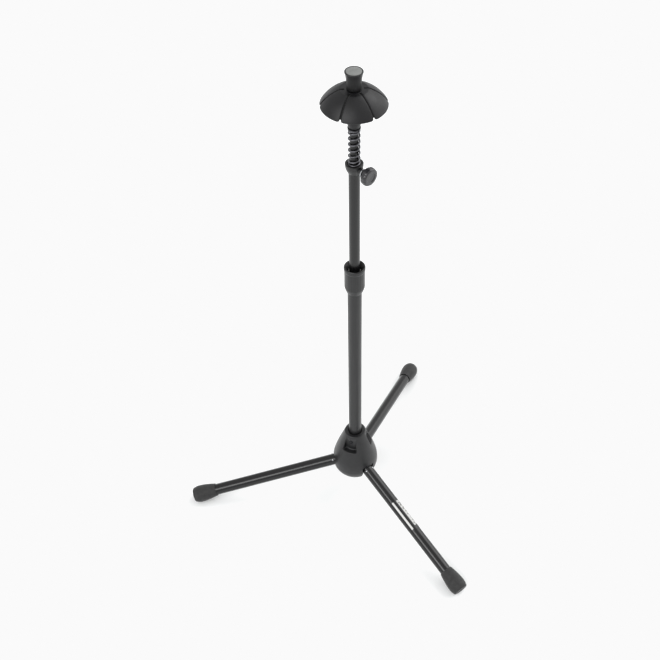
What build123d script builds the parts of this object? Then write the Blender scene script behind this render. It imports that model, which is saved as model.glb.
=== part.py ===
from build123d import *
import os
from math import atan, cos, radians, sin

# Folding tripod floor stand for a brass instrument, in millimetres.
# Origin: the point on the floor under the mast's axis. +Z is up, and the front is towards -Y.

# ---------------------------------------------------------------- driving dimensions
# Legs
leg_names = ["rear", "left", "front"]
first_leg_angle = 67.5          # rear leg, counted from +X
foot_reach = 297.0              # mast axis to the middle of a foot's end face
leg_diameter = 20.0
leg_wall = 1.2
pivot_radius = 24.0
pivot_height = 80.0
pin_diameter = 4.0
pin_reach = leg_diameter / 2 + 6.5      # half of a pivot pin's length
knuckle_spigot = 26.0

# Rubber feet
foot_length = 42.0
foot_mouth_diameter = leg_diameter + 2.8
foot_belly_diameter = leg_diameter + 10.4
foot_end_diameter = leg_diameter + 4.8
foot_belly_setback = 12.0
foot_mouth_lip = 0.9            # rubber's thickness at its thin mouth
foot_sole_depth = 0.8           # how far the floor cuts into the round foot
foot_end_wall = 5.0

# Label on the front leg
label_start = 90.0
label_length = 64.0
label_thickness = 0.25
label_arc = 116.0
label_turn = -10.0              # turned from the top of the tube towards the front

# Mast
mast_diameter = 22.0
mast_wall = 1.2
mast_top = 522.0
inner_diameter = 16.0
inner_wall = 1.2
inner_bottom = mast_top - 222.0
glide_length = 12.0
circlip_thickness = 1.0
circlip_groove = 0.4
plug_length = 15.0
plug_flange = 2.0

# Hub
hub_bottom = 56.0
hub_belly_height = 80.0
hub_top = 155.0
hub_belly_radius = 39.6
hub_top_radius = mast_diameter / 2 + 7.0
hub_floor_radius = 31.0
hub_neck_radius = mast_diameter / 2 + 8.5
hub_mouth_gap = 1.4
hub_mouth_depth = 8.0
valley_floor = 123.0
valley_angle = 54.0
mast_seat = 98.0
base_plate_radius = 28.0
base_plate_thickness = 4.0
hub_soft_edge = 1.6
slot_soft_edge = 1.2
base_screw_circle = 21.5
base_screw_length = 14.0
base_screw_diameter = 3.2
base_screw_head_diameter = 6.4
base_screw_head_height = 1.8
mast_screw_height = 141.0
mast_screw_head_diameter = 8.0
mast_screw_head_height = 2.4
mast_screw_diameter = 4.0
mast_screw_spot = mast_diameter / 2 + 7.5   # flat that its head seats on

# Clutch
clutch_bottom = mast_top - 31.0
clutch_top = mast_top + 19.5
clutch_diameter = mast_diameter + 9.2
clutch_lip_diameter = clutch_diameter + 1.2
clutch_lip_height = 7.0
clutch_taper_height = 12.0
clutch_mouth_depth = 6.0
clutch_mouth_radius = mast_diameter / 2 + 3.6
holder_wall = 1.6
holder_length = 28.0
collet_length = 24.0
collet_flange = 2.0
collet_slit = 1.2
grip_rib_count = 24
grip_rib_depth = 0.25
grip_flute_radius = 1.0

# Top collar and thumb screw
collar_top = 728.0
collar_bottom = collar_top - 15.0
collar_diameter = inner_diameter + 9.6
collar_mouth_diameter = inner_diameter + 2.8
collar_mouth_depth = 4.0
bush_length = 32.0
bush_flange = 1.5
screw_height = collar_top - 8.5
screw_angle = -44.0
screw_diameter = 5.0
boss_diameter = 11.0
boss_reach = inner_diameter / 2 + 8.0
knob_diameter = 26.4
knob_thickness = 10.0
knob_neck_length = 4.0
knob_lobe_count = 10
knob_recess_depth = 1.2
washer_diameter = 13.0
washer_thickness = 1.4

# Plunger, spring and bell cup
rod_diameter = inner_diameter - 4.4
rod_bottom = collar_top - 88.0
plunger_travel = 30.0
rod_slot_depth = 1.8
stop_clip_thickness = 1.2
stop_groove = 0.7
wire_diameter = 2.6
spring_turns = 6.25
spring_top = collar_top + 55.6
spring_washer_thickness = 1.4
cup_rim_height = collar_top + 91.6
cup_shoulder_height = cup_rim_height + 22.6
cup_rim_radius = 44.8
cup_bulge = 2.0
cup_wall = 2.2
cup_stem_radius = rod_diameter / 2 + 3.5
cup_shoulder_radius = cup_stem_radius + 9.3
cup_stem_tip_radius = rod_diameter / 2 + 2.0
cup_stem_tip_length = 7.0
petal_count = 6
petal_slit = 1.3
petal_root_radius = cup_stem_radius + 2.7
first_slit_angle = 6.0
peg_height = 25.0
peg_neck_radius = rod_diameter / 2 + 3.8
peg_head_radius = peg_neck_radius + 2.7
peg_lip = 1.9
cap_dome = 1.5
rod_in_peg = 8.0
peg_screw_diameter = 4.0
peg_screw_head_diameter = 7.6
peg_screw_head_height = 2.8
peg_screw_length = 15.0
cap_thickness = 2.0

# Fits
running_gap = 0.05              # a shaft turning or sliding in its bore
sliding_gap = 0.1               # a moulded ring in a drawn tube
free_gap = 0.3                  # neighbours that move past each other
seat_gap = 0.2                  # a head or tip short of its seat
slot_gap = 0.6                  # leg in its hub slot, each side

# ---------------------------------------------------------------- derived dimensions
leg_radius = leg_diameter / 2
leg_bore = leg_radius - leg_wall
foot_end_radius = foot_end_diameter / 2
pin_radius = pin_diameter / 2
mast_radius = mast_diameter / 2
mast_bore = mast_radius - mast_wall
inner_radius = inner_diameter / 2
inner_bore = inner_radius - inner_wall
rod_radius = rod_diameter / 2
screw_radius = screw_diameter / 2
leg_angles = [first_leg_angle + 120 * i for i in range(3)]
valley_angles = [angle + 60 for angle in leg_angles]
mast_screw_angle = valley_angles[1]
slot_width = leg_diameter + 2 * slot_gap
pocket_radius = leg_radius + free_gap

slope = radians(14)
for step in range(30):
    sole_line = foot_end_radius * cos(slope) - foot_sole_depth
    slope = atan((pivot_height - sole_line) / (foot_reach - pivot_radius))
leg_length = (foot_reach - pivot_radius) / cos(slope)

tube_start = leg_radius + 1.0   # along the leg from its pivot
tube_end = leg_length - foot_end_wall


def outward(angle):
    """Horizontal unit vector at an angle from +X."""
    return Vector(cos(radians(angle)), sin(radians(angle)), 0)


def sideways(angle):
    """Horizontal unit vector a quarter turn on from outward."""
    return outward(angle + 90)


def pivot_point(angle):
    """Centre of a leg's pivot pin."""
    return outward(angle) * pivot_radius + Vector(0, 0, pivot_height)


def leg_direction(angle):
    """Unit vector down the leg, from the hub to the foot."""
    return outward(angle) * cos(slope) - Vector(0, 0, sin(slope))


def leg_section_plane(angle, distance=0.0):
    """Square to the leg at a distance from its pivot. Local y points up."""
    origin = pivot_point(angle) + leg_direction(angle) * distance
    return Plane(origin=origin, x_dir=sideways(angle), z_dir=leg_direction(angle))


def leg_profile_plane(angle):
    """Holds the leg's axis. Local x is the radius and local y runs down the leg."""
    up_square = outward(angle) * sin(slope) + Vector(0, 0, cos(slope))
    return Plane(origin=pivot_point(angle), x_dir=up_square, z_dir=sideways(angle))


def upright_plane(angle):
    """Stands on the mast's axis. Local x is the radius and local y is the height."""
    return Plane(origin=(0, 0, 0), x_dir=outward(angle), z_dir=-sideways(angle))


def radial_plane(angle, height, distance=0.0):
    """Faces outwards at a distance from the mast's axis. Local y points up."""
    origin = outward(angle) * distance + Vector(0, 0, height)
    return Plane(origin=origin, x_dir=sideways(angle), z_dir=outward(angle))


def slot_outline(angle):
    """The room a leg needs in its upright plane, from open to folded down."""
    back = pivot_radius - pocket_radius
    reach = 2 * hub_belly_radius
    low = hub_bottom - 10
    roof = (pivot_radius + pocket_radius * sin(slope), pivot_height + pocket_radius * cos(slope))
    turn = radians(135) - slope / 2
    middle = (pivot_radius + pocket_radius * cos(turn), pivot_height + pocket_radius * sin(turn))
    end = (roof[0] + reach * cos(slope), roof[1] - reach * sin(slope))
    with BuildSketch(upright_plane(angle)) as outline:
        with BuildLine():
            Line((back, low), (back, pivot_height))
            ThreePointArc((back, pivot_height), middle, roof)
            Line(roof, end)
            Line(end, (end[0], low))
            Line((end[0], low), (back, low))
        make_face()
    return outline.sketch


def slot_mouth(piece, angle):
    """Edges where a leg's slot breaks through the hub's rounded side."""
    found = []
    for edge in piece.edges().filter_by(GeomType.BSPLINE):
        middle = edge.center()
        beyond_pivot = middle.dot(outward(angle)) > pivot_radius + 4
        in_slot = abs(middle.dot(sideways(angle))) < slot_width / 2 + slot_gap
        if beyond_pivot and in_slot and middle.Z < mast_seat:
            found.append(edge)
    return found


def save(piece, node):
    """Label a finished piece and write it."""
    piece.part.label = node
    export_step(piece.part, f"parts/{node}.step")


os.makedirs("parts", exist_ok=True)

# ---------------------------------------------------------------- hub
mast_hole = mast_radius + running_gap
mouth_radius = mast_radius + hub_mouth_gap
plate_top = hub_bottom + base_plate_thickness
groove_reach = pin_reach + 0.2

with BuildPart() as hub_shell:
    with BuildSketch(Plane.XZ):
        with BuildLine():
            Spline(
                (hub_top_radius, hub_top),
                (hub_top_radius + 0.47 * (hub_belly_radius - hub_top_radius), hub_top - 28),
                (hub_belly_radius - 3.2, hub_top - 54),
                (hub_belly_radius, hub_belly_height),
                tangents=[(0.35, -1), (0, -1)],
            )
            ThreePointArc(
                (hub_belly_radius, hub_belly_height),
                (hub_belly_radius - 2.6, hub_bottom + 9),
                (hub_floor_radius, hub_bottom),
            )
            Polyline(
                (hub_floor_radius, hub_bottom),
                (0, hub_bottom),
                (0, hub_top),
                (hub_top_radius, hub_top),
            )
        make_face()
    revolve(axis=Axis.Z)
    for angle in valley_angles:
        with BuildSketch(upright_plane(angle - valley_angle / 2)) as valley:
            with Locations((hub_neck_radius, valley_floor)):
                Rectangle(60, 60, align=(Align.MIN, Align.MIN))
            fillet(valley.vertices().sort_by_distance((hub_neck_radius, valley_floor))[0], radius=2)
        revolve(axis=Axis.Z, revolution_arc=valley_angle, mode=Mode.SUBTRACT)
    valley_edges = [edge for edge in hub_shell.edges() if edge.center().Z > valley_floor - 3]
    fillet(valley_edges, radius=hub_soft_edge)
    with BuildSketch(Plane.XY.offset(mast_seat)):
        Circle(mast_hole)
    extrude(amount=hub_top - mast_seat, mode=Mode.SUBTRACT)
    with BuildSketch(Plane.XY.offset(hub_top - hub_mouth_depth)):
        Circle(mouth_radius)
    extrude(amount=hub_mouth_depth, mode=Mode.SUBTRACT)
    for angle in leg_angles:
        extrude(slot_outline(angle), amount=slot_width / 2, both=True, mode=Mode.SUBTRACT)
    slot_edges = [edge for angle in leg_angles for edge in slot_mouth(hub_shell, angle)]
    fillet(slot_edges, radius=slot_soft_edge)
    with BuildSketch(Plane.XY.offset(hub_bottom)):
        Circle(base_plate_radius + free_gap / 2)
    extrude(amount=base_plate_thickness, mode=Mode.SUBTRACT)
    for angle in leg_angles:
        with BuildSketch(upright_plane(angle)):
            with Locations((pivot_radius, pivot_height)):
                Circle(pin_radius)
                Rectangle(pin_diameter, pivot_height - hub_bottom, align=(Align.CENTER, Align.MAX))
        extrude(amount=groove_reach, both=True, mode=Mode.SUBTRACT)
    for angle in valley_angles:
        with BuildSketch(Plane.XY.offset(plate_top)):
            with Locations(outward(angle) * base_screw_circle):
                Circle(base_screw_diameter / 2)
        extrude(amount=base_screw_length, mode=Mode.SUBTRACT)
    with BuildSketch(radial_plane(mast_screw_angle, mast_screw_height)):
        Circle(mast_screw_diameter / 2)
    extrude(amount=hub_neck_radius, mode=Mode.SUBTRACT)
    with BuildSketch(radial_plane(mast_screw_angle, mast_screw_height, mast_screw_spot)):
        Circle(mast_screw_head_diameter / 2 + 2 * free_gap)
    extrude(amount=hub_top_radius, mode=Mode.SUBTRACT)
save(hub_shell, "hub_shell")

with BuildPart() as hub_base_plate:
    with BuildSketch(Plane.XY.offset(hub_bottom)):
        Circle(base_plate_radius)
    extrude(amount=base_plate_thickness)
    for angle in leg_angles:
        extrude(slot_outline(angle), amount=slot_width / 2, both=True, mode=Mode.SUBTRACT)
        for side in (1, -1):
            keeper = upright_plane(angle).offset(side * (slot_width / 2 + 2 * seat_gap))
            with BuildSketch(keeper):
                with Locations((pivot_radius, hub_bottom)):
                    Rectangle(
                        pin_diameter - seat_gap,
                        pivot_height - pin_radius - hub_bottom,
                        align=(Align.CENTER, Align.MIN),
                    )
            extrude(amount=side * (groove_reach - slot_width / 2 - 3 * seat_gap))
    for angle in valley_angles:
        with BuildSketch(Plane.XY.offset(hub_bottom)):
            with Locations(outward(angle) * base_screw_circle):
                Circle(base_screw_diameter / 2 + seat_gap)
        extrude(amount=base_plate_thickness, mode=Mode.SUBTRACT)
        with BuildSketch(Plane.XY.offset(hub_bottom)):
            with Locations(outward(angle) * base_screw_circle):
                Circle(base_screw_head_diameter / 2 + seat_gap)
        extrude(amount=base_screw_head_height + seat_gap, mode=Mode.SUBTRACT)
save(hub_base_plate, "hub_base_plate")

with BuildPart() as hub_base_screws:
    for angle in valley_angles:
        with BuildSketch(Plane.XY.offset(hub_bottom + seat_gap)):
            with Locations(outward(angle) * base_screw_circle):
                Circle(base_screw_diameter / 2)
        extrude(amount=base_screw_length)
        with BuildSketch(Plane.XY.offset(hub_bottom + seat_gap)):
            with Locations(outward(angle) * base_screw_circle):
                Circle(base_screw_head_diameter / 2)
        extrude(amount=base_screw_head_height)
        with BuildSketch(Plane.XY.offset(hub_bottom + seat_gap)):
            with Locations(outward(angle) * base_screw_circle):
                RegularPolygon(0.2 * base_screw_head_diameter, 6)
        extrude(amount=0.65 * base_screw_head_height, mode=Mode.SUBTRACT)
save(hub_base_screws, "hub_base_screws")

mast_screw_tip = mast_bore + seat_gap
driver_depth = 0.5 * mast_screw_head_height
with BuildPart() as hub_mast_screw:
    with BuildSketch(radial_plane(mast_screw_angle, mast_screw_height, mast_screw_tip)):
        Circle(mast_screw_diameter / 2)
    extrude(amount=mast_screw_spot - mast_screw_tip)
    with BuildSketch(radial_plane(mast_screw_angle, mast_screw_height, mast_screw_spot)):
        Circle(mast_screw_head_diameter / 2)
    extrude(amount=mast_screw_head_height)
    outer_edge = hub_mast_screw.edges().filter_by(GeomType.CIRCLE).sort_by(SortBy.DISTANCE)[-1]
    fillet(outer_edge, radius=0.5 * mast_screw_head_height)
    driver_plane = radial_plane(
        mast_screw_angle, mast_screw_height, mast_screw_spot + mast_screw_head_height - driver_depth
    )
    with BuildSketch(driver_plane):
        Rectangle(0.6 * mast_screw_head_diameter, 1)
        Rectangle(1, 0.6 * mast_screw_head_diameter)
    extrude(amount=2 * driver_depth, mode=Mode.SUBTRACT)
save(hub_mast_screw, "hub_mast_screw")

# ---------------------------------------------------------------- legs
for name, angle in zip(leg_names, leg_angles):
    with BuildPart() as leg_pin:
        with BuildSketch(Plane(origin=pivot_point(angle), z_dir=sideways(angle))):
            Circle(pin_radius)
        extrude(amount=pin_reach, both=True)
        chamfer(leg_pin.edges().filter_by(GeomType.CIRCLE), length=0.4)
    save(leg_pin, f"leg_pin_{name}")

    with BuildPart() as leg_knuckle:
        with BuildSketch(leg_profile_plane(angle)):
            with BuildLine():
                ThreePointArc(
                    (0, -leg_radius),
                    (leg_radius * cos(radians(45)), -leg_radius * sin(radians(45))),
                    (leg_radius, 0),
                )
                Polyline(
                    (leg_radius, 0),
                    (leg_radius, tube_start),
                    (leg_bore, tube_start),
                    (leg_bore, tube_start + knuckle_spigot),
                    (0, tube_start + knuckle_spigot),
                    (0, -leg_radius),
                )
            make_face()
        revolve(axis=Axis(pivot_point(angle), leg_direction(angle)))
        with BuildSketch(Plane(origin=pivot_point(angle), z_dir=sideways(angle))):
            Circle(pin_radius + running_gap)
        extrude(amount=2 * leg_radius, both=True, mode=Mode.SUBTRACT)
    save(leg_knuckle, f"leg_knuckle_{name}")

    with BuildPart() as leg_tube:
        with BuildSketch(leg_section_plane(angle, tube_start)):
            Circle(leg_radius)
            Circle(leg_bore, mode=Mode.SUBTRACT)
        extrude(amount=tube_end - tube_start)
    save(leg_tube, f"leg_tube_{name}")

    foot_start = leg_length - foot_length
    with BuildPart() as leg_foot:
        with BuildSketch(leg_profile_plane(angle)):
            with BuildLine():
                Line(
                    (leg_radius + foot_mouth_lip, foot_start),
                    (foot_mouth_diameter / 2, foot_start + foot_mouth_lip),
                )
                Spline(
                    (foot_mouth_diameter / 2, foot_start + foot_mouth_lip),
                    (foot_belly_diameter / 2, leg_length - foot_belly_setback),
                    (foot_end_radius, leg_length),
                    tangents=[(0.08, 1), (-0.6, 1)],
                )
                Polyline(
                    (foot_end_radius, leg_length),
                    (0, leg_length),
                    (0, tube_end),
                    (leg_radius, tube_end),
                    (leg_radius, foot_start + 3),
                    (leg_radius + foot_mouth_lip, foot_start),
                )
            make_face()
        revolve(axis=Axis(pivot_point(angle), leg_direction(angle)))
        split(bisect_by=Plane.XY, keep=Keep.TOP)
    save(leg_foot, f"leg_foot_{name}")

label_from = 90 + label_turn - label_arc / 2
with BuildPart() as leg_label:
    with BuildSketch(leg_section_plane(leg_angles[2], label_start)):
        with BuildLine():
            label_inner = CenterArc((0, 0), leg_radius, label_from, label_arc)
            label_outer = CenterArc((0, 0), leg_radius + label_thickness, label_from, label_arc)
            Line(label_inner @ 0, label_outer @ 0)
            Line(label_inner @ 1, label_outer @ 1)
        make_face()
    extrude(amount=label_length)
save(leg_label, "leg_label")

# ---------------------------------------------------------------- lower mast and clutch
with BuildPart() as mast_outer_tube:
    with BuildSketch(Plane.XY.offset(mast_seat)):
        Circle(mast_radius)
        Circle(mast_bore, mode=Mode.SUBTRACT)
    extrude(amount=mast_top - mast_seat)
    with BuildSketch(radial_plane(mast_screw_angle, mast_screw_height)):
        Circle(mast_screw_diameter / 2)
    extrude(amount=2 * mast_radius, mode=Mode.SUBTRACT)
save(mast_outer_tube, "mast_outer_tube")

collet_radius = mast_bore - sliding_gap
holder_radius = mast_radius + holder_wall
holder_top = mast_top + 7
flange_top = holder_top + free_gap + collet_flange
with BuildPart() as clutch_holder:
    with BuildSketch(Plane.XY.offset(holder_top - holder_length)):
        Circle(holder_radius)
    extrude(amount=holder_length)
    chamfer(clutch_holder.edges().filter_by(GeomType.CIRCLE), length=0.6)
    with BuildSketch(Plane.XY.offset(holder_top - holder_length)):
        Circle(mast_radius)
    extrude(amount=mast_top - holder_top + holder_length, mode=Mode.SUBTRACT)
    with BuildSketch(Plane.XY.offset(mast_top)):
        Circle(mast_bore + 0.2)
    extrude(amount=holder_top - mast_top, mode=Mode.SUBTRACT)
save(clutch_holder, "clutch_holder")

with BuildPart() as clutch_collet:
    with BuildSketch(Plane.XY.offset(holder_top + free_gap - collet_length)):
        Circle(collet_radius)
    extrude(amount=collet_length)
    with BuildSketch(Plane.XY.offset(holder_top + free_gap)):
        Circle(holder_radius - 0.3)
    extrude(amount=collet_flange)
    with BuildSketch(Plane.XY.offset(holder_top + free_gap - collet_length)):
        Circle(inner_radius + running_gap)
    extrude(amount=collet_length + collet_flange, mode=Mode.SUBTRACT)
    with BuildSketch(Plane.XY.offset(holder_top + free_gap - collet_length + 5)):
        with PolarLocations(inner_radius + 3, 3):
            Rectangle(mast_radius, collet_slit)
    extrude(amount=collet_length + collet_flange, mode=Mode.SUBTRACT)
save(clutch_collet, "clutch_collet")

sleeve_radius = clutch_diameter / 2
lip_radius = clutch_lip_diameter / 2
sleeve_throat = inner_radius + 1.3
with BuildPart() as clutch_sleeve:
    with BuildSketch(Plane.XZ):
        with BuildLine():
            Polyline(
                (mast_radius + free_gap, clutch_bottom),
                (mast_radius + 1.2, clutch_bottom),
            )
            Spline(
                (mast_radius + 1.2, clutch_bottom),
                (mast_radius + 2.9, clutch_bottom + 0.42 * clutch_taper_height),
                (sleeve_radius, clutch_bottom + clutch_taper_height),
                tangents=[(0.25, 1), (0.08, 1)],
            )
            Polyline(
                (sleeve_radius, clutch_bottom + clutch_taper_height),
                (sleeve_radius, clutch_top - clutch_lip_height),
                (lip_radius, clutch_top - clutch_lip_height + 0.8),
                (lip_radius, clutch_top - 1.2),
                (lip_radius - 1.2, clutch_top),
                (clutch_mouth_radius, clutch_top),
                (sleeve_throat, clutch_top - clutch_mouth_depth),
                (sleeve_throat, flange_top + free_gap),
                (holder_radius + free_gap, flange_top + free_gap),
                (holder_radius + free_gap, holder_top - holder_length - 2),
                (mast_radius + free_gap, holder_top - holder_length - 3.5),
                (mast_radius + free_gap, clutch_bottom),
            )
        make_face()
    revolve(axis=Axis.Z)
    rib_top = clutch_top - clutch_lip_height - 2
    with BuildSketch(Plane.XY.offset(clutch_bottom + clutch_taper_height)):
        with PolarLocations(sleeve_radius + grip_flute_radius - grip_rib_depth, grip_rib_count):
            Circle(grip_flute_radius)
    extrude(amount=rib_top - clutch_bottom - clutch_taper_height, mode=Mode.SUBTRACT)
save(clutch_sleeve, "clutch_sleeve")

# ---------------------------------------------------------------- upper mast
inner_top = collar_top - collar_mouth_depth
with BuildPart() as mast_inner_tube:
    with BuildSketch(Plane.XY.offset(inner_bottom)):
        Circle(inner_radius)
        Circle(inner_bore, mode=Mode.SUBTRACT)
    extrude(amount=inner_top - inner_bottom)
    with BuildSketch(Plane.XY.offset(inner_bottom + glide_length + free_gap)):
        Circle(inner_radius + 1)
        Circle(inner_radius - circlip_groove, mode=Mode.SUBTRACT)
    extrude(amount=circlip_thickness, mode=Mode.SUBTRACT)
    with BuildSketch(radial_plane(screw_angle, screw_height)):
        Circle(screw_radius + 0.4)
    extrude(amount=2 * inner_radius, mode=Mode.SUBTRACT)
save(mast_inner_tube, "mast_inner_tube")

with BuildPart() as inner_tube_plug:
    with BuildSketch(Plane.XY.offset(inner_bottom - plug_flange - free_gap)):
        Circle(mast_bore - 0.5)
    extrude(amount=plug_flange)
    with BuildSketch(Plane.XY.offset(inner_bottom - free_gap)):
        Circle(inner_radius - circlip_groove)
    extrude(amount=free_gap)
    with BuildSketch(Plane.XY.offset(inner_bottom)):
        Circle(inner_bore)
        Circle(inner_bore - 2, mode=Mode.SUBTRACT)
    extrude(amount=plug_length)
save(inner_tube_plug, "inner_tube_plug")

with BuildPart() as glide_ring:
    with BuildSketch(Plane.XY.offset(inner_bottom)):
        Circle(mast_bore - sliding_gap)
        Circle(inner_radius + running_gap, mode=Mode.SUBTRACT)
    extrude(amount=glide_length)
save(glide_ring, "glide_ring")

with BuildPart() as glide_circlip:
    with BuildSketch(Plane.XY.offset(inner_bottom + glide_length + free_gap)):
        Circle(mast_bore - 0.6)
        Circle(inner_radius - circlip_groove, mode=Mode.SUBTRACT)
        with Locations((mast_bore, 0)):
            Rectangle(6, 4, mode=Mode.SUBTRACT)
    extrude(amount=circlip_thickness)
save(glide_circlip, "glide_circlip")

collar_radius = collar_diameter / 2
insert_radius = screw_radius + 1.5
with BuildPart() as top_collar:
    with BuildSketch(Plane.XZ):
        with BuildLine():
            Polyline((0, collar_bottom), (inner_radius + 0.8, collar_bottom))
            Spline(
                (inner_radius + 0.8, collar_bottom),
                (collar_radius - 1.7, collar_bottom + 4.5),
                (collar_radius - 0.3, collar_top - 6),
                tangents=[(0.5, 1), (0.1, 1)],
            )
            Polyline(
                (collar_radius - 0.3, collar_top - 6),
                (collar_radius, collar_top),
                (0, collar_top),
                (0, collar_bottom),
            )
        make_face()
    revolve(axis=Axis.Z)
    fillet(top_collar.edges().group_by(Axis.Z)[-1], radius=1.0)
    with BuildSketch(radial_plane(screw_angle, screw_height, inner_radius)):
        Circle(boss_diameter / 2)
    extrude(amount=boss_reach - inner_radius)
    with BuildSketch(Plane.XY.offset(collar_bottom)):
        Circle(inner_radius)
    extrude(amount=inner_top - collar_bottom, mode=Mode.SUBTRACT)
    with BuildSketch(Plane.XY.offset(inner_top)):
        Circle(collar_mouth_diameter / 2)
    extrude(amount=collar_mouth_depth, mode=Mode.SUBTRACT)
    with BuildSketch(radial_plane(screw_angle, screw_height)):
        Circle(screw_radius + 0.4)
    extrude(amount=boss_reach, mode=Mode.SUBTRACT)
    with BuildSketch(radial_plane(screw_angle, screw_height, inner_radius + 1.5)):
        Circle(insert_radius)
    extrude(amount=boss_reach, mode=Mode.SUBTRACT)
save(top_collar, "top_collar")

with BuildPart() as collar_insert:
    with BuildSketch(radial_plane(screw_angle, screw_height, inner_radius + 1.5)):
        Circle(insert_radius)
        Circle(screw_radius + running_gap, mode=Mode.SUBTRACT)
    extrude(amount=boss_reach - inner_radius - 1.5)
save(collar_insert, "collar_insert")

bush_top = inner_top + bush_flange
with BuildPart() as guide_bush:
    with BuildSketch(Plane.XY.offset(inner_top - bush_length)):
        Circle(inner_bore)
    extrude(amount=bush_length)
    with BuildSketch(Plane.XY.offset(inner_top)):
        Circle(collar_mouth_diameter / 2 - 0.2)
    extrude(amount=bush_flange)
    with BuildSketch(Plane.XY.offset(inner_top - bush_length)):
        Circle(rod_radius + running_gap)
    extrude(amount=bush_length + bush_flange, mode=Mode.SUBTRACT)
    with BuildSketch(radial_plane(screw_angle, screw_height)):
        Circle(screw_radius + 0.4)
    extrude(amount=2 * inner_radius, mode=Mode.SUBTRACT)
save(guide_bush, "guide_bush")

# ---------------------------------------------------------------- thumb screw
slot_floor = rod_radius - rod_slot_depth
stud_tip = slot_floor + 0.4
washer_start = boss_reach + free_gap
neck_start = washer_start + washer_thickness + free_gap
knob_start = neck_start + knob_neck_length
knob_end = knob_start + knob_thickness
stud_end = knob_end - 3

with BuildPart() as screw_washer:
    with BuildSketch(radial_plane(screw_angle, screw_height, washer_start)):
        Circle(washer_diameter / 2)
        Circle(screw_radius + running_gap, mode=Mode.SUBTRACT)
    extrude(amount=washer_thickness)
save(screw_washer, "screw_washer")

with BuildPart() as thumb_stud:
    with BuildSketch(radial_plane(screw_angle, screw_height, stud_tip)):
        Circle(screw_radius - 0.4)
    extrude(amount=rod_radius - stud_tip + 0.5)
    with BuildSketch(radial_plane(screw_angle, screw_height, rod_radius + 0.5)):
        Circle(screw_radius)
    extrude(amount=stud_end - rod_radius - 0.5)
save(thumb_stud, "thumb_stud")

knob_radius = knob_diameter / 2
with BuildPart() as thumb_knob:
    with BuildSketch(radial_plane(screw_angle, screw_height, knob_start)):
        Circle(knob_radius)
        with PolarLocations(knob_radius + 1.6, knob_lobe_count):
            Circle(3.0, mode=Mode.SUBTRACT)
    extrude(amount=knob_thickness)
    flat_ends = thumb_knob.faces().sort_by(Axis((0, 0, 0), outward(screw_angle)))
    fillet(flat_ends[-1].edges(), radius=2.2)
    fillet(thumb_knob.faces().sort_by(Axis((0, 0, 0), outward(screw_angle)))[0].edges(), radius=1.4)
    with BuildSketch(radial_plane(screw_angle, screw_height, neck_start)):
        Circle(boss_diameter / 2)
    extrude(amount=knob_neck_length)
    with BuildSketch(radial_plane(screw_angle, screw_height, knob_end - knob_recess_depth)):
        Circle(0.52 * knob_radius)
    extrude(amount=2 * knob_recess_depth, mode=Mode.SUBTRACT)
    with BuildSketch(radial_plane(screw_angle, screw_height)):
        Circle(screw_radius)
    extrude(amount=stud_end, mode=Mode.SUBTRACT)
save(thumb_knob, "thumb_knob")

# ---------------------------------------------------------------- plunger and spring
cup_stem_bottom = spring_top + spring_washer_thickness
cup_top = cup_shoulder_height + 0.2
rod_top = cup_top + rod_in_peg
screw_seat = rod_top + 5
peg_screw_radius = peg_screw_diameter / 2
clip_top = inner_top - bush_length - free_gap
with BuildPart() as plunger_rod:
    with BuildSketch(Plane.XY.offset(rod_bottom)):
        Circle(rod_radius)
    extrude(amount=rod_top - rod_bottom)
    chamfer(plunger_rod.edges().group_by(Axis.Z)[0], length=0.8)
    with BuildSketch(Plane.XY.offset(clip_top - stop_clip_thickness)):
        Circle(rod_radius + 1)
        Circle(rod_radius - stop_groove, mode=Mode.SUBTRACT)
    extrude(amount=stop_clip_thickness, mode=Mode.SUBTRACT)
    with BuildSketch(radial_plane(screw_angle, 0, slot_floor)):
        with Locations((0, screw_height + plunger_travel / 2)):
            SlotCenterToCenter(plunger_travel + 1.0, screw_diameter, rotation=90)
    extrude(amount=2 * rod_slot_depth, mode=Mode.SUBTRACT)
    with BuildSketch(Plane.XY.offset(screw_seat - peg_screw_length)):
        Circle(peg_screw_radius)
    extrude(amount=peg_screw_length, mode=Mode.SUBTRACT)
save(plunger_rod, "plunger_rod")

with BuildPart() as rod_stop_clip:
    with BuildSketch(Plane.XY.offset(clip_top - stop_clip_thickness)):
        Circle(inner_bore - seat_gap)
        Circle(rod_radius - stop_groove, mode=Mode.SUBTRACT)
        with Locations((-inner_bore, 0)):
            Rectangle(6, 4, mode=Mode.SUBTRACT)
    extrude(amount=stop_clip_thickness)
save(rod_stop_clip, "rod_stop_clip")

coil_radius = rod_radius + free_gap + wire_diameter / 2
coil_base = bush_top + wire_diameter / 2
coil_height = spring_top - wire_diameter / 2 - coil_base
with BuildPart() as spring:
    with BuildLine():
        Helix(
            pitch=coil_height / spring_turns,
            height=coil_height,
            radius=coil_radius,
            center=(0, 0, coil_base),
        )
    with BuildSketch(Plane.XZ):
        with Locations((coil_radius, coil_base)):
            Circle(wire_diameter / 2)
    sweep(is_frenet=True)
save(spring, "spring")

with BuildPart() as spring_washer:
    with BuildSketch(Plane.XY.offset(spring_top)):
        Circle(coil_radius + wire_diameter / 2 + 0.2)
        Circle(rod_radius, mode=Mode.SUBTRACT)
    extrude(amount=spring_washer_thickness)
save(spring_washer, "spring_washer")

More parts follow.
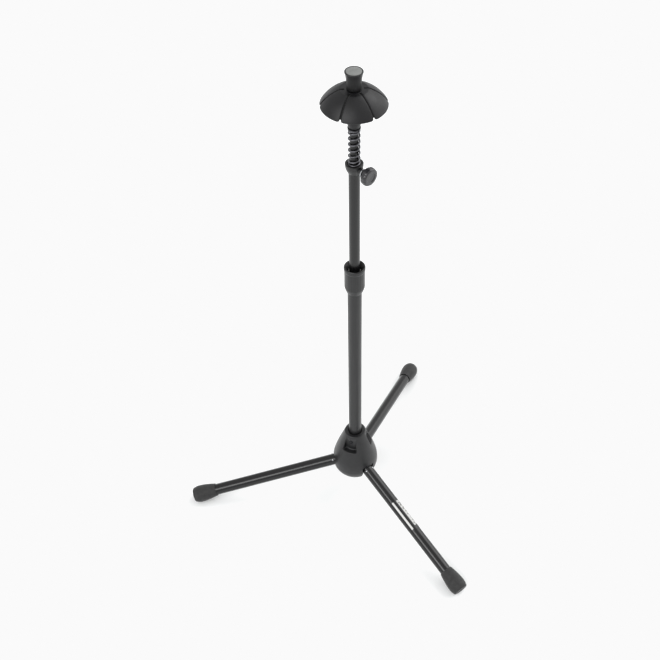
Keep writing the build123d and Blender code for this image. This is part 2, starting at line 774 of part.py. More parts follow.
# ---------------------------------------------------------------- bell cup and peg
arc_radius = (cup_shoulder_radius + cup_rim_radius) / 2 + cup_bulge
arc_height = (cup_shoulder_height + cup_rim_height) / 2 + cup_bulge
with BuildPart() as bell_cup:
    with BuildSketch(Plane.XZ):
        with BuildLine():
            Polyline(
                (0, cup_stem_bottom),
                (cup_stem_tip_radius, cup_stem_bottom),
                (cup_stem_radius, cup_stem_bottom + cup_stem_tip_length),
                (cup_stem_radius, cup_top - cup_wall - 6),
                (cup_stem_radius + 6, cup_top - cup_wall),
                (cup_shoulder_radius - 0.6, cup_shoulder_height - cup_wall),
            )
            ThreePointArc(
                (cup_shoulder_radius - 0.6, cup_shoulder_height - cup_wall),
                (arc_radius - 0.75 * cup_wall, arc_height - 0.75 * cup_wall),
                (cup_rim_radius - cup_wall, cup_rim_height),
            )
            Line((cup_rim_radius - cup_wall, cup_rim_height), (cup_rim_radius, cup_rim_height))
            ThreePointArc(
                (cup_rim_radius, cup_rim_height),
                (arc_radius, arc_height),
                (cup_shoulder_radius, cup_shoulder_height),
            )
            Polyline(
                (cup_shoulder_radius, cup_shoulder_height),
                (petal_root_radius, cup_top),
                (0, cup_top),
                (0, cup_stem_bottom),
            )
        make_face()
    revolve(axis=Axis.Z)
    with BuildSketch(Plane.XY.offset(cup_rim_height - 5)):
        with PolarLocations(0, petal_count, start_angle=first_slit_angle):
            with Locations((petal_root_radius, 0)):
                Rectangle(60, petal_slit, align=(Align.MIN, Align.CENTER))
    extrude(amount=40, mode=Mode.SUBTRACT)
    with BuildSketch(Plane.XY.offset(cup_stem_bottom)):
        Circle(rod_radius)
    extrude(amount=cup_top - cup_stem_bottom, mode=Mode.SUBTRACT)
save(bell_cup, "bell_cup")

peg_top = cup_top + peg_height
cap_radius = peg_head_radius - peg_lip
cap_seat = peg_top - cap_thickness
with BuildPart() as bell_peg:
    with BuildSketch(Plane.XZ):
        with BuildLine():
            Line((0, cup_top), (peg_neck_radius, cup_top))
            Spline(
                (peg_neck_radius, cup_top),
                (peg_neck_radius + 0.2, cup_top + 0.45 * peg_height),
                (peg_head_radius - 0.2, peg_top - 2),
                tangents=[(-0.02, 1), (0.3, 1)],
            )
            ThreePointArc(
                (peg_head_radius - 0.2, peg_top - 2),
                (peg_head_radius - 0.2, peg_top - 0.7),
                (peg_head_radius - 1.0, peg_top),
            )
            Polyline((peg_head_radius - 1.0, peg_top), (0, peg_top), (0, cup_top))
        make_face()
    revolve(axis=Axis.Z)
    with BuildSketch(Plane.XY.offset(cup_top)):
        Circle(rod_radius)
    extrude(amount=rod_in_peg, mode=Mode.SUBTRACT)
    with BuildSketch(Plane.XY.offset(rod_top)):
        Circle(peg_screw_radius + seat_gap)
    extrude(amount=screw_seat - rod_top, mode=Mode.SUBTRACT)
    with BuildSketch(Plane.XY.offset(screw_seat)):
        Circle(peg_screw_head_diameter / 2 + 2 * free_gap)
    extrude(amount=peg_top - screw_seat, mode=Mode.SUBTRACT)
    with BuildSketch(Plane.XY.offset(cap_seat)):
        Circle(cap_radius)
    extrude(amount=2 * cap_thickness, mode=Mode.SUBTRACT)
save(bell_peg, "bell_peg")

with BuildPart() as peg_screw:
    with BuildSketch(Plane.XY.offset(screw_seat - peg_screw_length)):
        Circle(peg_screw_radius)
    extrude(amount=peg_screw_length)
    with BuildSketch(Plane.XY.offset(screw_seat)):
        Circle(peg_screw_head_diameter / 2)
    extrude(amount=peg_screw_head_height)
    with BuildSketch(Plane.XY.offset(screw_seat + 0.45 * peg_screw_head_height)):
        RegularPolygon(0.22 * peg_screw_head_diameter, 6)
    extrude(amount=peg_screw_head_height, mode=Mode.SUBTRACT)
save(peg_screw, "peg_screw")

with BuildPart() as peg_cap:
    with BuildSketch(Plane.XZ):
        with BuildLine():
            cap_crown = (0, peg_top + cap_dome)
            cap_edge = (cap_radius, peg_top - 0.3)
            TangentArc(cap_crown, cap_edge, tangent=(1, 0))
            Polyline(cap_edge, (cap_radius, cap_seat), (0, cap_seat), cap_crown)
        make_face()
    revolve(axis=Axis.Z)
save(peg_cap, "peg_cap")
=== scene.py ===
# %% [markdown]
# # A folding tripod stand for a brass instrument
# The stand is a mast on three folding legs, with a sprung, slotted cup on top that goes into the
# instrument's bell. The engineering model already holds every part at its real size, so this lesson
# loads it as a fixed frame, gives each part the finish of its real material, and rebuilds the moulded
# and sprung parts as smooth surfaces worked out with numpy.

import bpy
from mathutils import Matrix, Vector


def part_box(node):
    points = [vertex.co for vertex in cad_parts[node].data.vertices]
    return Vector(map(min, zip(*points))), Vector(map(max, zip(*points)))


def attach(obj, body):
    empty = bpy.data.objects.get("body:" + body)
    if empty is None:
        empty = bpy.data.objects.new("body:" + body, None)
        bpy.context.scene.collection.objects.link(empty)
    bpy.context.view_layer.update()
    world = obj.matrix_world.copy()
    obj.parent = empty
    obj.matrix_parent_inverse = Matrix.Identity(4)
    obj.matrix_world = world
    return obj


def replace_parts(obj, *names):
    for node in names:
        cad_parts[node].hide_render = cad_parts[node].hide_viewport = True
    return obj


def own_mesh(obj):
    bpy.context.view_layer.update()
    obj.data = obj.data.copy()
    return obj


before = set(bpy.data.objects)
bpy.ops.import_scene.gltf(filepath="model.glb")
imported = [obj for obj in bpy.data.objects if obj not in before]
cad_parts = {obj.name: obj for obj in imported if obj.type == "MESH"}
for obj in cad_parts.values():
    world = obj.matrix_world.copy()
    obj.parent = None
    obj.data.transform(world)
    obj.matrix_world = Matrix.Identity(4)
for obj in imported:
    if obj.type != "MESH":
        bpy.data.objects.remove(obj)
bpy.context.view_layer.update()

# %% [markdown]
# ## Tools for finishes
# Paint charts give colours as sRGB hex values, and Blender's shaders want linear light, so one
# function turns one into the other. Others add a shader node together with its settings and its links,
# and wire colour, roughness and bump to the shader, which keeps each finish below short.

# %% Colour and node helpers
import math

import bpy
import bmesh
import numpy as np

MM = 0.001
NOISE_ROUGHNESS, NOISE_LOW, NOISE_HIGH = 0.55, 0.3, 0.7


def linear(code):
    """sRGB hex to linear RGBA: a channel c over 0.04045 becomes ((c + 0.055) / 1.055) to the power 2.4."""
    channels = np.array([int(code[i:i + 2], 16) for i in (1, 3, 5)]) / 255
    light = np.where(channels > 0.04045, ((channels + 0.055) / 1.055) ** 2.4, channels / 12.92)
    return (*light.tolist(), 1.0)


def add(tree, kind, inputs, **settings):
    """Add a node: settings are its properties, and each input is a value or another node's output."""
    node = tree.nodes.new(kind)
    for name, value in settings.items():
        setattr(node, name, value)
    for name, value in inputs.items():
        if isinstance(value, bpy.types.NodeSocket):
            tree.links.new(value, node.inputs[name])
        else:
            node.inputs[name].default_value = value
    return node


def new_finish(name):
    """An empty material, its tree, its Principled shader, and its coordinates in metres."""
    material = bpy.data.materials.new(name)
    material.use_nodes = True
    tree = material.node_tree
    shader = tree.nodes["Principled BSDF"]
    place = add(tree, "ShaderNodeTexCoord", {}).outputs["Object"]
    return material, tree, shader, place


def per_metre(size_mm):
    """Texture scale whose pattern repeats about every size_mm."""
    return 1000 / size_mm


def speckle(tree, place, size_mm, low, high, detail=2.0):
    """Noise of a real size, whose middle range is stretched to go from low to high."""
    noise = add(tree, "ShaderNodeTexNoise", {
        "Vector": place, "Scale": per_metre(size_mm), "Detail": detail, "Roughness": NOISE_ROUGHNESS})
    return add(tree, "ShaderNodeMapRange", {
        "Value": noise.outputs["Fac"], "From Min": NOISE_LOW, "From Max": NOISE_HIGH,
        "To Min": low, "To Max": high}).outputs["Result"]


def blend_colours(tree, share, first_hex, second_hex):
    """A colour that goes from the first to the second with share."""
    mix = add(tree, "ShaderNodeMix", {0: share, 6: linear(first_hex), 7: linear(second_hex)},
              data_type="RGBA")
    return mix.outputs[2]


def wire_finish(tree, shader, colour, gloss, relief, relief_mm):
    """Give the shader its colour, its roughness, and a relief that becomes bump of a real depth."""
    bump = add(tree, "ShaderNodeBump", {"Height": relief, "Distance": relief_mm * MM})
    tree.links.new(colour, shader.inputs["Base Color"])
    tree.links.new(gloss, shader.inputs["Roughness"])
    tree.links.new(bump.outputs["Normal"], shader.inputs["Normal"])


print("tools for finishes ready, with noise of roughness", NOISE_ROUGHNESS)


# %% [markdown]
# ## Powder-coated tube
# The mast and the legs are drawn steel tube with a black polyester powder coat. The powder melts into a
# skin with a faint ripple, called orange peel, about two millimetres across, so reflections are soft
# and a little uneven. The mast's coat is satin, and the legs' coat is glossier. Sliding through the
# clutch leaves hair marks along the mast, drawn as noise that is stretched along its length.

# %% Tube finishes
POWDER_IOR = 1.46
HAIR_WIDTH, HAIR_LENGTH = 1.6, 90  # of the marks, in millimetres
MARK_FROM, MARK_FULL = 0.56, 0.78  # values of the hair noise where a mark starts, and where it is full
CLOUD_SIZE, CLOUD_GLOSS = 26, 0.04


def powder_coat(name, skin_hex, worn_hex, roughness, ripple_mm, ripple_depth_mm, marks):
    """Powder coat with an orange-peel ripple, cloudy gloss, and lengthwise hair marks of strength marks."""
    material, tree, shader, place = new_finish(name)
    ripple = speckle(tree, place, ripple_mm, 0.0, 1.0, 3.0)
    along = add(tree, "ShaderNodeMapping", {
        "Vector": place, "Scale": (per_metre(HAIR_WIDTH), per_metre(HAIR_WIDTH), per_metre(HAIR_LENGTH))})
    hair = add(tree, "ShaderNodeTexNoise", {
        "Vector": along.outputs["Vector"], "Scale": 1.0, "Detail": 4.0, "Roughness": 0.6})
    worn = add(tree, "ShaderNodeMapRange", {
        "Value": hair.outputs["Fac"], "From Min": MARK_FROM, "From Max": MARK_FULL, "To Max": marks})
    colour = blend_colours(tree, worn.outputs["Result"], skin_hex, worn_hex)
    gloss = speckle(tree, place, CLOUD_SIZE, roughness - CLOUD_GLOSS, roughness + CLOUD_GLOSS)
    wire_finish(tree, shader, colour, gloss, ripple, ripple_depth_mm)
    shader.inputs["IOR"].default_value = POWDER_IOR
    return material


mast_coat = powder_coat("satin_black_powder_coat", "#161617", "#343435", 0.34, 1.8, 0.02, 0.5)
upper_coat = powder_coat("semi_gloss_black_powder_coat", "#0D0D0E", "#262627", 0.30, 1.8, 0.016, 0.4)
leg_coat = powder_coat("gloss_black_powder_coat", "#0B0B0C", "#0B0B0C", 0.20, 2.4, 0.012, 0.0)
rod_coat = powder_coat("satin_black_painted_rod", "#0C0C0D", "#1C1C1D", 0.42, 1.6, 0.01, 0.5)
print("tube finishes:", mast_coat.name, "and", leg_coat.name)

# %% [markdown]
# ## Moulded plastic
# The hub, the clutch sleeve, the collar, the knob and the peg are injection-moulded nylon and ABS. The
# mould is spark-eroded, which leaves an even grain of small pits that breaks up the gloss. The real
# grain is about 0.3 mm, too fine to show, so it is drawn about three times as coarse. The cup is
# smoother, with a satin skin. The web behind its slits is matt and near black: that is painted shade,
# for the dark inside of the cup seen through the slits.

# %% Moulded finishes
NYLON_IOR, CUP_IOR = 1.47, 1.43
TONE_SIZE, GLOSS_SIZE, GLOSS_SPREAD = 9, 14, 0.05
COAT_ROUGHNESS = 0.25


def moulded(name, skin_hex, pale_hex, roughness, grain_mm, grain_depth_mm, coat=0.0, ior=NYLON_IOR):
    """Moulded plastic: spark-eroded grain as bump, and slow changes of tone and gloss."""
    material, tree, shader, place = new_finish(name)
    grain = speckle(tree, place, grain_mm, 0.0, 1.0, 3.0)
    colour = blend_colours(tree, speckle(tree, place, TONE_SIZE, 0.0, 1.0), skin_hex, pale_hex)
    gloss = speckle(tree, place, GLOSS_SIZE, roughness - GLOSS_SPREAD, roughness + GLOSS_SPREAD)
    wire_finish(tree, shader, colour, gloss, grain, grain_depth_mm)
    shader.inputs["IOR"].default_value = ior
    shader.inputs["Coat Weight"].default_value = coat
    shader.inputs["Coat Roughness"].default_value = COAT_ROUGHNESS
    return material


hub_nylon = moulded("spark_grained_black_nylon", "#111112", "#18181A", 0.38, 1.0, 0.04)
grip_nylon = moulded("fine_grained_black_nylon", "#0E0E0F", "#141415", 0.36, 0.9, 0.025)
cup_plastic = moulded("satin_black_moulded_cup", "#060608", "#0C0C0F", 0.44, 1.2, 0.012, ior=CUP_IOR)
# The web's near-black, matt colour is painted shade: it stands for the dark inside of the cup behind the
# slits.
painted_shade_web_plastic = moulded("painted_shade_matt_black_web", "#020202", "#050505", 0.75, 1.2, 0.02, ior=CUP_IOR)
knob_plastic = moulded("polished_black_moulded_knob", "#19191C", "#202024", 0.28, 1.4, 0.012, 0.3)
cap_plastic = moulded("satin_grey_moulded_cap", "#6E706E", "#7B7D7B", 0.42, 0.8, 0.01)
acetal = moulded("natural_acetal_bearing", "#D9D8D2", "#E2E1DB", 0.40, 1.5, 0.01)
print("moulded finishes:", hub_nylon.name, grip_nylon.name, cup_plastic.name, knob_plastic.name)

# %% [markdown]
# ## Rubber
# The feet are matt black rubber pushed over the tubes' ends. Rubber scatters light almost evenly, with
# a weak sheen at the edges, and its surface has a fine tooth. Dust settles into it near the floor.

# %% Rubber finish
TOOTH_SIZE, TOOTH_DEPTH = 1.1, 0.04
DUST_TOP = 6  # millimetres over the floor
DUST_BELOW, DUST_ABOVE = 0.8, 0.16
DUST_PATCH, SHINE_PATCH = 3.0, 8
RUBBER_IOR, RUBBER_SHEEN, SHEEN_ROUGHNESS = 1.5, 0.16, 0.4


def foot_rubber_finish():
    """Matt rubber: a fine tooth, pale patches, and dust that is thickest over the lowest six millimetres."""
    material, tree, shader, place = new_finish("matt_black_foot_rubber")
    tooth = speckle(tree, place, TOOTH_SIZE, 0.0, 1.0, 4.0)
    height = add(tree, "ShaderNodeSeparateXYZ", {"Vector": place}).outputs["Z"]
    low = add(tree, "ShaderNodeMapRange", {
        "Value": height, "From Min": 0.0, "From Max": DUST_TOP * MM,
        "To Min": DUST_BELOW, "To Max": DUST_ABOVE})
    patchy = add(tree, "ShaderNodeMath", {
        0: low.outputs["Result"], 1: speckle(tree, place, DUST_PATCH, 0.1, 1.0)}, operation="MULTIPLY")
    colour = blend_colours(tree, patchy.outputs["Value"], "#1B1B1C", "#4A4946")
    gloss = speckle(tree, place, SHINE_PATCH, 0.62, 0.78)
    wire_finish(tree, shader, colour, gloss, tooth, TOOTH_DEPTH)
    shader.inputs["IOR"].default_value = RUBBER_IOR
    shader.inputs["Sheen Weight"].default_value = RUBBER_SHEEN
    shader.inputs["Sheen Roughness"].default_value = SHEEN_ROUGHNESS
    return material


foot_rubber = foot_rubber_finish()
print("rubber finish:", foot_rubber.name)

# %% [markdown]
# ## Metals
# The pins, the thumb screw, its washer and the rivets are bright zinc-plated steel, whose gloss is
# broken by a fine grain and by stains. The clips, the spring's washer and the mast screw are
# black-oxide steel, a dark and slightly oily skin that still reflects like metal. The spring has a
# greyer phosphate skin. The threaded insert is brass.

# %% Metal finishes
STAIN_SIZE, POLISH_SIZE, POLISH_SPREAD = 5, 3, 0.05


def metal(name, bright_hex, stained_hex, roughness, grain_mm, grain_depth_mm):
    """Bare or plated metal: stains several millimetres wide, and a fine grain in gloss and bump."""
    material, tree, shader, place = new_finish(name)
    grain = speckle(tree, place, grain_mm, 0.0, 1.0, 3.0)
    colour = blend_colours(tree, speckle(tree, place, STAIN_SIZE, 0.0, 1.0), bright_hex, stained_hex)
    gloss = speckle(tree, place, POLISH_SIZE, roughness - POLISH_SPREAD, roughness + POLISH_SPREAD)
    wire_finish(tree, shader, colour, gloss, grain, grain_depth_mm)
    shader.inputs["Metallic"].default_value = 1.0
    return material


zinc_plate = metal("bright_zinc_plated_steel", "#C4C6C9", "#A9ABAD", 0.24, 0.9, 0.006)
black_oxide = metal("black_oxide_turned_steel", "#3A3A3C", "#2C2C2E", 0.34, 0.8, 0.008)
spring_steel = metal("phosphated_spring_steel", "#6E6E72", "#58585B", 0.36, 0.8, 0.008)
brass = metal("turned_brass", "#C9A24E", "#B28A3C", 0.26, 0.9, 0.006)
print("metal finishes:", zinc_plate.name, black_oxide.name, brass.name)

# %% [markdown]
# ## Tools for shapes
# Nearly every moulded part of the stand is a turned or a swept shape. A grid of points, worked out as
# one numpy array, becomes a mesh here: rows run along a profile, and columns go round it. Corners of a
# profile are rounded first, because nothing that comes out of a mould or off a lathe has a sharp edge,
# and those small radii catch the light.

# %% Surface helpers
WELD = 0.0002 * MM
MOST_OF_SIDE = 0.49  # a rounded corner takes less than half of each side beside it


def skin(name, grid, finish, rows_close=False, columns_close=True, ink=None):
    """Mesh of a grid of points in millimetres [row, column, xyz]: each cell is one face.

    Points that coincide become one, which closes seams and poles. A value of ink for each point is
    kept as the attribute "print".
    """
    rows, columns = grid.shape[:2]
    i = np.arange(rows if rows_close else rows - 1)[:, None]
    j = np.arange(columns if columns_close else columns - 1)[None, :]
    here, above = i * columns, ((i + 1) % rows) * columns
    beside = (j + 1) % columns
    cells = np.stack([here + j, here + beside, above + beside, above + j], axis=-1)
    mesh = bpy.data.meshes.new(name)
    mesh.from_pydata((grid.reshape(-1, 3) * MM).tolist(), [], cells.reshape(-1, 4).tolist())
    if ink is not None:
        mesh.attributes.new("print", "FLOAT", "POINT").data.foreach_set("value", ink.ravel())
    work = bmesh.new()
    work.from_mesh(mesh)
    bmesh.ops.remove_doubles(work, verts=work.verts, dist=WELD)
    bmesh.ops.dissolve_degenerate(work, edges=work.edges, dist=WELD)
    bmesh.ops.recalc_face_normals(work, faces=work.faces)
    work.to_mesh(mesh)
    work.free()
    mesh.polygons.foreach_set("use_smooth", np.ones(len(mesh.polygons), dtype=bool))
    mesh.materials.append(finish)
    piece = bpy.data.objects.new(name, mesh)
    bpy.context.scene.collection.objects.link(piece)
    return piece


def softened(corners, radii, steps=5):
    """A profile's corners, each replaced by a curve that starts and ends one radius away from it:
    (1-t)^2 start + 2t(1-t) corner + t^2 end."""
    corners = np.array(corners, float)
    radii = np.broadcast_to(np.array(radii, float), len(corners))[:, None]
    before, after = np.roll(corners, 1, axis=0) - corners, np.roll(corners, -1, axis=0) - corners
    before_length = np.linalg.norm(before, axis=1, keepdims=True)
    after_length = np.linalg.norm(after, axis=1, keepdims=True)
    start = corners + before * np.minimum(radii / before_length, MOST_OF_SIDE)
    end = corners + after * np.minimum(radii / after_length, MOST_OF_SIDE)
    t = np.linspace(0, 1, steps)[None, :, None]
    curve = (1 - t) ** 2 * start[:, None] + 2 * t * (1 - t) * corners[:, None] + t ** 2 * end[:, None]
    return curve.reshape(-1, 2)


def around(count):
    """Angles of one full turn, without the last that repeats the first."""
    return np.linspace(0, 2 * np.pi, count, endpoint=False)


def turned(profile, count=128):
    """Turned surface: a profile of radius and height, at every angle a, is (r cos a, r sin a, z)."""
    radius, height = profile[:, 0, None], profile[:, 1, None]
    angle = around(count)[None, :]
    return np.stack([radius * np.cos(angle), radius * np.sin(angle), height + 0 * angle], axis=-1)


def stood(grid, origin, direction, upright):
    """Put a surface worked out about the z axis onto an axis from origin along direction: z goes along
    it, and x as near to upright as it can."""
    z_axis = np.array(direction, float) / np.linalg.norm(direction)
    x_axis = np.array(upright, float) - np.dot(upright, z_axis) * z_axis
    x_axis = x_axis / np.linalg.norm(x_axis)
    frame_axes = np.stack([x_axis, np.cross(z_axis, x_axis), z_axis])
    return grid @ frame_axes + np.array(origin, float)


def even_shading(piece):
    """Weigh normals by face area, so that flats stay flat beside small radii."""
    piece.modifiers.new("even_shading", "WEIGHTED_NORMAL").keep_sharp = True
    return piece


def heights(node):
    """Lowest and highest point of a node's box, in millimetres."""
    low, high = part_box(node)
    return low[2] / MM, high[2] / MM


print("the model's top is at", heights("peg_cap")[1], "mm")

# %% [markdown]
# ## Bell cup
# The cup is one plastic moulding: a stem on the plunger rod, a small crown, and six petals that spring
# inwards as the bell comes down over them. Each petal is a rounded strip, so its outline is carried
# along the dome's arc: at every station the strip's cross-section is a flat loop with half-round ends,
# as wide as the gap between two slits leaves. Towards the rim the loop shrinks to nothing over one wall
# radius, which rolls the edge over, and its ends draw in to round the petal's corners. A thin web joins
# the petals on their inner half, and its near-black finish is painted shade, so each slit is a dark
# groove like the shaded inside of the cup.

# %% Dome of the cup
STEM_TIP, CUP_TOP = heights("bell_cup")
SHOULDER = CUP_TOP - 0.2
CUP = {"shoulder": (18.6, SHOULDER), "rim": (44.8, SHOULDER - 22.6), "bulge": (33.7, SHOULDER - 9.3),
       "wall": 2.2}
PETALS, SLIT, FIRST_SLIT = 6, 1.9, 6.0
PETAL_CORNER, CORNER_SHARE = 3.2, 0.998  # the corners' radius, and how much of their curve is used
CROWN_RADIUS, ROD_RADIUS, DOME_START = 12.6, 5.8, 9.5


def circle_through(a, b, c):
    """Centre and radius of the circle through three points, from the two equations that put the centre
    as far from a as from b and from c."""
    a, b, c = np.array(a), np.array(b), np.array(c)
    centre = np.linalg.solve(2 * np.array([b - a, c - a]), np.array([b @ b - a @ a, c @ c - a @ a]))
    return centre, np.linalg.norm(a - centre)


def dome_line(stations):
    """Middle of the dome's wall as radius and height, with its outward normal: a straight crown, then
    the arc to the rim. The last stations run past the rim's edge radius."""
    centre, radius = circle_through(CUP["shoulder"], CUP["bulge"], CUP["rim"])
    start, end = (np.arctan2(p[1] - centre[1], p[0] - centre[0]) for p in (CUP["shoulder"], CUP["rim"]))
    crown = np.linspace(DOME_START, CUP["shoulder"][0], stations // 3, endpoint=False)
    crown_points = np.stack([crown, np.full_like(crown, CUP["shoulder"][1])], axis=1)
    angle = np.linspace(start, end + (CUP["wall"] / 2) / radius, stations - len(crown))
    arc_normals = np.stack([np.cos(angle), np.sin(angle)], axis=1)
    share = np.linspace(0, 1, len(crown))[:, None]
    crown_normals = (1 - share) * np.array([0.0, 1.0]) + share * arc_normals[0]
    crown_normals = crown_normals / np.linalg.norm(crown_normals, axis=1, keepdims=True)
    outer = np.concatenate([crown_points, centre + radius * arc_normals])
    normals = np.concatenate([crown_normals, arc_normals])
    return outer - normals * CUP["wall"] / 2, normals


def petal(middle_angle, stations=60, face_points=22, end_points=9):
    """One petal: a flat loop with half-round ends, carried along the dome's line."""
    middle, normals = dome_line(stations)
    along = np.concatenate([[0], np.cumsum(np.linalg.norm(np.diff(middle, axis=0), axis=1))])
    half_wall, corner = CUP["wall"] / 2, PETAL_CORNER
    roll = np.linspace(0, 0.5 * np.pi, 10)
    last_step = (middle[-1] - middle[-2]) / (along[-1] - along[-2])
    middle = np.concatenate([middle, middle[-1] + np.outer(np.sin(roll[1:]) * half_wall, last_step)])
    normals = np.concatenate([normals, np.repeat(normals[-1:], len(roll) - 1, axis=0)])
    thick = half_wall * np.concatenate([np.ones(stations), np.cos(roll[1:])])
    along = np.concatenate([along, along[-1] + half_wall * np.sin(roll[1:])])
    past_corner = np.clip((along - (along[-1] - corner)) / corner, 0, 1)
    draw_in = corner * (1 - np.sqrt(1 - past_corner ** 2 * CORNER_SHARE))
    radius = middle[:, 0]
    half_width = radius * (np.pi / PETALS - np.arcsin(SLIT / 2 / radius)) - draw_in
    across = np.linspace(-1, 1, face_points)
    end_angle = np.linspace(0.5 * np.pi, -0.5 * np.pi, end_points)[1:-1]
    flat = half_width - half_wall
    round_end = np.outer(thick, np.cos(end_angle))
    loop_a = np.concatenate([np.outer(flat, -across), -flat[:, None] - round_end,
                             np.outer(flat, across), flat[:, None] + round_end], axis=1)
    rise = np.concatenate([np.ones(face_points), np.sin(end_angle),
                           -np.ones(face_points), -np.sin(end_angle)])
    loop_b = thick[:, None] * rise[None, :]
    angle = middle_angle + loop_a / radius[:, None]
    reach = radius[:, None] + normals[:, 0, None] * loop_b
    height = middle[:, 1, None] + normals[:, 1, None] * loop_b
    body = np.stack([reach * np.cos(angle), reach * np.sin(angle), height], axis=-1)
    root = np.repeat(body[0].mean(axis=0)[None, None], body.shape[1], axis=1)
    return np.concatenate([root, body])


petals = [petal(math.radians(FIRST_SLIT + 360 / PETALS * (k + 0.5))) for k in range(PETALS)]
print("petals:", len(petals), "of", petals[0].shape[0] * petals[0].shape[1], "points")

# %% Petals, crown and stem
for k, grid in enumerate(petals):
    piece = even_shading(skin(f"bell_cup_petal_{k + 1}", grid, cup_plastic))
    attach(piece, "plunger")

stem_profile = softened(
    [(ROD_RADIUS, STEM_TIP), (7.8, STEM_TIP), (9.3, STEM_TIP + 7), (9.3, CUP_TOP - 8),
     (CROWN_RADIUS, CUP_TOP - 4), (CROWN_RADIUS, CUP_TOP - 0.2), (ROD_RADIUS, CUP_TOP - 0.1)],
    [0.1, 0.8, 2.5, 2.0, 1.0, 0.3, 0.1])
stem = even_shading(skin("bell_cup_stem", turned(stem_profile), cup_plastic, rows_close=True))
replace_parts(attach(stem, "plunger"), "bell_cup")


WEB_FROM, WEB_TO = 4, 56  # stations of the dome's line
WEB_OUTSIDE, WEB_INSIDE = 0.05, 0.75  # millimetres inwards from that line


def lining_profile(count=40):
    """Web behind the slits: the dome's line moved towards the inner face, a third of the wall thick."""
    middle, normals = dome_line(60)
    keep = np.linspace(WEB_FROM, WEB_TO, count).astype(int)
    outside = middle[keep] - WEB_OUTSIDE * normals[keep]
    inside = middle[keep] - WEB_INSIDE * normals[keep]
    return np.concatenate([outside, inside[::-1]])


# The web wears the near-black painted shade that stands for the dark inside of the cup seen through the
# slits.
lining = even_shading(skin("bell_cup_web_painted_shade", turned(lining_profile()), painted_shade_web_plastic, rows_close=True))
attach(lining, "plunger")
print("cup: stem, web and", PETALS, "petals")

# %% [markdown]
# ## Peg and cap
# The waisted peg holds the bell from inside, and a cap closes the screw hole in its top. Both are
# turned shapes: the peg widens from its neck to its head, faster the higher it gets, and the cap is a
# shallow dome that stands in the peg's rim with a hair of a gap around it.

# %% Peg and cap
PEG_FOOT, PEG_TOP = heights("bell_peg")
PEG_NECK, PEG_HEAD, CAP_RADIUS = 9.6, 12.3, 10.3
WAIST_POWER, RIM_DEPTH, CAP_SEAT, CAP_RISE = 2.6, 1.4, 2.0, 1.5


def waist(count=24):
    """Peg's side: radius is the neck plus a share that grows with a power of height."""
    share = np.linspace(0, 1, count)
    radius = PEG_NECK + (PEG_HEAD - 0.1 - PEG_NECK) * share ** WAIST_POWER
    return np.stack([radius, PEG_FOOT + share * (PEG_TOP - 1.6 - PEG_FOOT)], axis=1)


def rounded_rim(count=8):
    """Quarter curves over the rim, from the side to the wall of the cap's seat."""
    t = np.linspace(0, 1, count)[:, None]
    outer, top = np.array([PEG_HEAD, PEG_TOP - RIM_DEPTH]), np.array([PEG_HEAD, PEG_TOP])
    inner = np.array([CAP_RADIUS + 1.0, PEG_TOP])
    first = (1 - t) ** 2 * outer + 2 * t * (1 - t) * top + t ** 2 * inner
    wall = CAP_RADIUS + 0.1
    seat = np.array([[wall + 0.2, PEG_TOP - 0.05], [wall + 0.02, PEG_TOP - 0.3],
                     [wall, PEG_TOP - CAP_SEAT], [0.0, PEG_TOP - CAP_SEAT]])
    return np.concatenate([first, seat])


peg_profile = np.concatenate([[[0.0, PEG_FOOT]], waist(), rounded_rim()])
peg = even_shading(skin("bell_peg_moulding", turned(peg_profile), grip_nylon))
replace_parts(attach(peg, "plunger"), "bell_peg")

dome_share = np.linspace(1, 0, 16)
cap_dome = np.stack([CAP_RADIUS * dome_share * 0.97, PEG_TOP + CAP_RISE - CAP_RISE * dome_share ** 2],
                    axis=1)
cap_edge = [[0.0, PEG_TOP - 1.9], [CAP_RADIUS, PEG_TOP - 1.9], [CAP_RADIUS, PEG_TOP - 0.5],
            [CAP_RADIUS - 0.1, PEG_TOP - 0.15]]
cap_profile = np.concatenate([cap_edge, cap_dome])
cap = even_shading(skin("peg_cap_dome", turned(cap_profile), cap_plastic))
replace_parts(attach(cap, "plunger"), "peg_cap")
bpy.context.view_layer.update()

# %% [markdown]
# ## Spring
# A compression spring is round wire wound on a mandrel, with its last coil at each end wound close and
# ground flat so that it sits square. The wire's circle is carried along a helix whose pitch changes
# smoothly, and the ends are cut flat by holding every point between the two seats. It shortens with the
# plunger, which a rigid piece can't follow; here it is hung on the upper mast at its modelled length,
# with a mesh of its own.

# %% Spring
SPRING = {"coil": 7.4, "wire": 2.6, "turns": 7.5, "start": 0.35}
SPRING["foot"], SPRING["top"] = heights("spring")
SPRING["length"] = SPRING["top"] - SPRING["foot"]
CLOSED_TURNS, OPENING_TURNS = 0.7, 0.5
SEAT_SHARE = 0.45  # of the wire, from its seat to its centre: less than half, so the ends are cut flat


